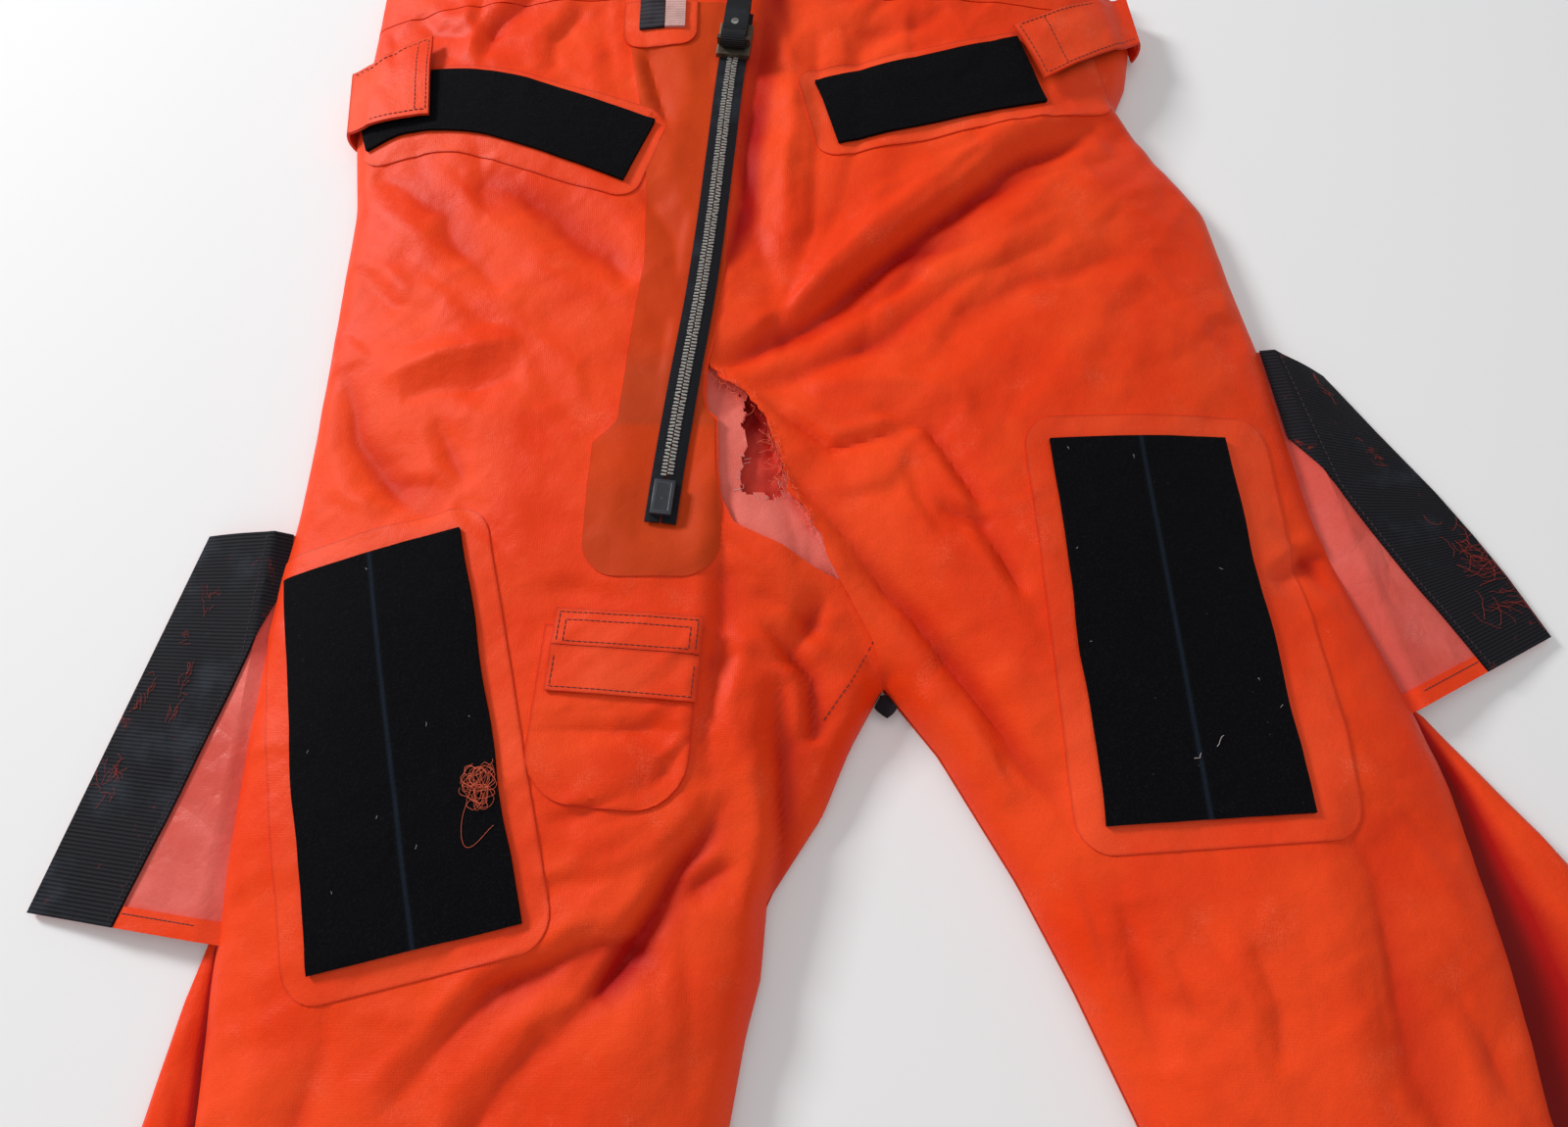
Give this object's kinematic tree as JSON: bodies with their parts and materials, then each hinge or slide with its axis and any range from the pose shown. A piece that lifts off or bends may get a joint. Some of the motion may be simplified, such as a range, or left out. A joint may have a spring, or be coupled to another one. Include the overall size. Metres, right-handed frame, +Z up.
{
  "type": "bunker pants",
  "caption": "Orange coated-cloth protective trousers lying on their back, with a diagonal sealed zip, black hook-and-loop panels, waist tabs and open leg wings.",
  "frame": {"origin": "middle of the footprint, on the surface the trousers lie on", "axes": "+X towards the wearer's left, +Y towards the waist, +Z up out of the front of the trousers"},
  "size_m": [0.977, 1.2266, 0.0551],
  "materials": {
    "brass": "darkened brass, worn",
    "hook_tape": "blue-black ribbed hook tape holding orange lint",
    "inner": "pink rubber-coated inner face of the cloth, dull sheen",
    "loop_pile": "black loop pile, matt and fuzzy",
    "metal": "dull grey metal teeth, tarnished",
    "moulded": "moulded black rubbery end, soft sheen",
    "pale_webbing": "pale pink woven webbing",
    "patch": "thin bonded orange cloth patch with a heat-pressed edge",
    "shell": "orange coated woven cloth, satin, slightly rubbery, worn pale along folds",
    "shell_back": "orange coated woven cloth, satin",
    "strap": "black strap, smooth and creased",
    "webbing": "black woven webbing",
    "zip_tape": "rubber-coated black zip tape"
  },
  "bodies": {
    "trousers": {"front_panel_right": "shell", "back_panel_right": "shell_back", "leg_pleat_right": "shell", "front_panel_left": "shell", "back_panel_left": "shell_back", "leg_pleat_left": "shell", "waistband_front_right": "shell", "waistband_front_left": "shell", "waistband_back": "shell_back", "cuff_hem_right": "shell", "cuff_hem_left": "shell", "thigh_patch_right": "patch", "thigh_loop_right_outer": "loop_pile", "thigh_loop_right_inner": "loop_pile", "thigh_patch_left": "patch", "thigh_loop_left_outer": "loop_pile", "thigh_loop_left_inner": "loop_pile", "waist_patch_right": "patch", "waist_loop_right": "loop_pile", "waist_patch_left": "patch", "waist_loop_left": "loop_pile", "waist_tab_root_right": "shell", "waist_tab_root_left": "shell", "zip_tape_right": "zip_tape", "zip_tape_left": "zip_tape", "zip_teeth_right": "metal", "zip_teeth_left": "metal", "zip_docking_end": "moulded", "zip_top_stop": "brass", "zip_patch": "patch", "webbing_patch": "patch", "webbing_end_black": "webbing", "webbing_end_pale": "pale_webbing", "crotch_liner": "inner", "crotch_gusset": "moulded", "pocket_bag": "shell", "pocket_flap_root": "shell"},
    "slider": {"zip_slider": "brass", "slider_bail": "brass"},
    "pull": {"pull_strap": "strap", "pull_rivet": "brass"},
    "waist_tab_right": {"waist_tab_right": "shell", "waist_tab_hook_right": "hook_tape"},
    "waist_tab_left": {"waist_tab_left": "shell", "waist_tab_hook_left": "hook_tape"},
    "wing_right": {"wing_panel_right": "inner", "wing_hook_right": "hook_tape", "wing_hem_right": "shell"},
    "wing_left": {"wing_panel_left": "inner", "wing_hook_left": "hook_tape", "wing_hem_left": "shell"},
    "pocket_flap": {"pocket_flap": "shell"}
  },
  "joints": [
    {"name": "zip_slider_travel", "type": "slide", "parent": "trousers", "child": "slider", "axis": [0.1078, 0.9942, 0], "range_m": [-0.268, 0]},
    {"name": "pull_strap_swing", "type": "hinge", "parent": "slider", "child": "pull", "pos_m": [-0.14403, 0.52959, 0.05108], "axis": [0.9942, -0.1078, 0], "range_deg": [0, 160]},
    {"name": "waist_tab_right_peel", "type": "hinge", "parent": "trousers", "child": "waist_tab_right", "pos_m": [-0.38624, 0.50829, 0.021], "axis": [0.0543, -0.9985, 0], "range_deg": [0, 150]},
    {"name": "waist_tab_left_peel", "type": "hinge", "parent": "trousers", "child": "waist_tab_left", "pos_m": [0.11276, 0.57629, 0.021], "axis": [-0.1432, 0.9897, 0], "range_deg": [0, 150]},
    {"name": "wing_right_wrap", "type": "hinge", "parent": "trousers", "child": "wing_right", "pos_m": [-0.39499, 0.11479, 0.013], "axis": [0.0282, 0.9996, 0], "range_deg": [0, 140]},
    {"name": "wing_left_wrap", "type": "hinge", "parent": "trousers", "child": "wing_left", "pos_m": [0.19551, 0.22929, 0.013], "axis": [0.2228, -0.9749, 0], "range_deg": [0, 140]},
    {"name": "pocket_flap_lift", "type": "hinge", "parent": "trousers", "child": "pocket_flap", "pos_m": [-0.19333, 0.14728, 0.04095], "axis": [-0.9968, 0.0802, 0], "range_deg": [0, 150]}
  ]
}
